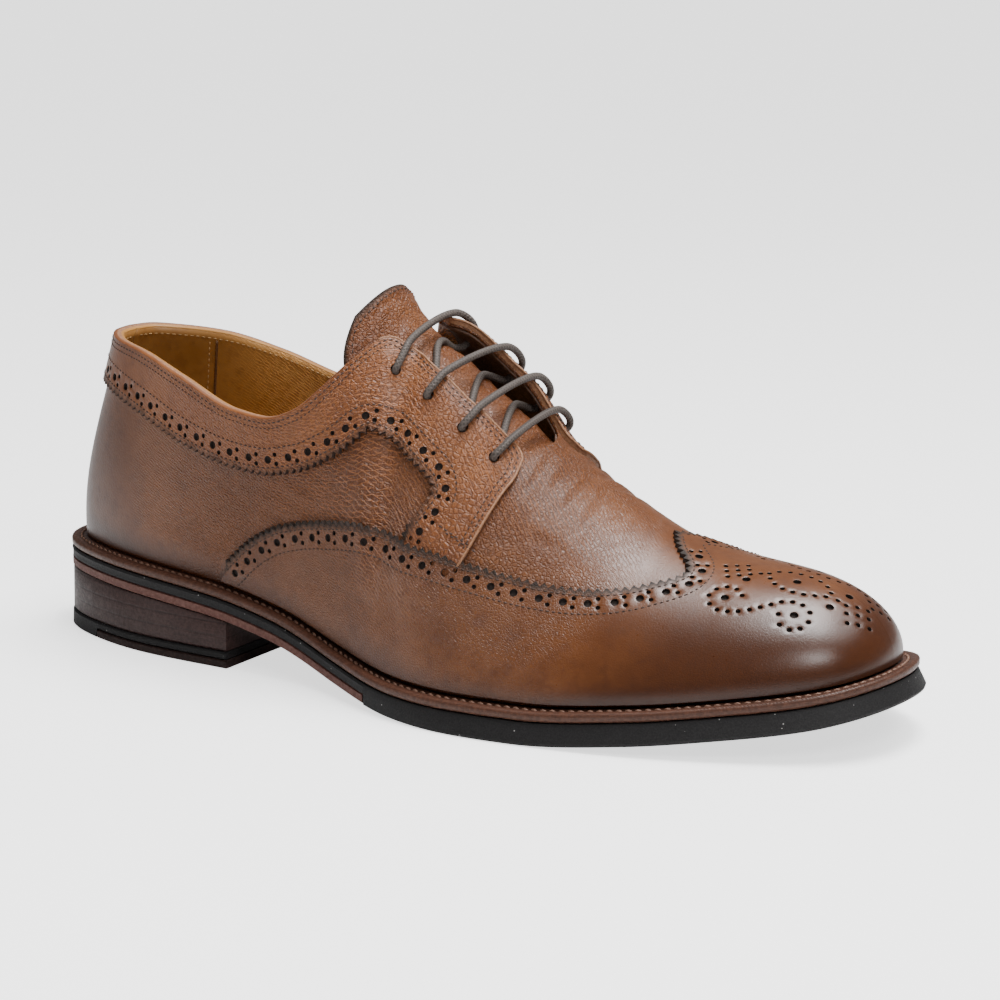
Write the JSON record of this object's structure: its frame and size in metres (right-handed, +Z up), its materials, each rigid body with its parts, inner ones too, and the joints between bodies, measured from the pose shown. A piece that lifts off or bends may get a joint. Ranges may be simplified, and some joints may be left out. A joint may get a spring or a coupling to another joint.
{
  "type": "brogue derby shoe",
  "caption": "Right leather derby dress shoe with wing cap, open facings with a laced cord, welted sole and stacked heel.",
  "frame": {"origin": "middle of the whole box, on the floor plane under heel and forefoot", "axes": "+X from heel to toe, -Y is the outer side of the foot, +Z up"},
  "size_m": [0.308, 0.1128, 0.1235],
  "materials": {
    "tan_leather": "burnished grain",
    "welt_leather": "waxed edge",
    "sole_rubber": "matt",
    "waist_leather": "waxed edge",
    "heel_leather": "polished stack",
    "insole_leather": "natural",
    "lace_cord": "waxed"
  },
  "bodies": {
    "root": {"upper": "tan_leather", "wing_cap": "tan_leather", "facing_outer": "tan_leather", "facing_inner": "tan_leather", "tongue": "tan_leather", "welt": "welt_leather", "outsole": "sole_rubber", "waist_layer": "waist_leather", "heel_stack": "heel_leather", "heel_top_piece": "sole_rubber", "heel_inset": "waist_leather", "insole": "insole_leather", "lace": "lace_cord"}
  },
  "joints": []
}
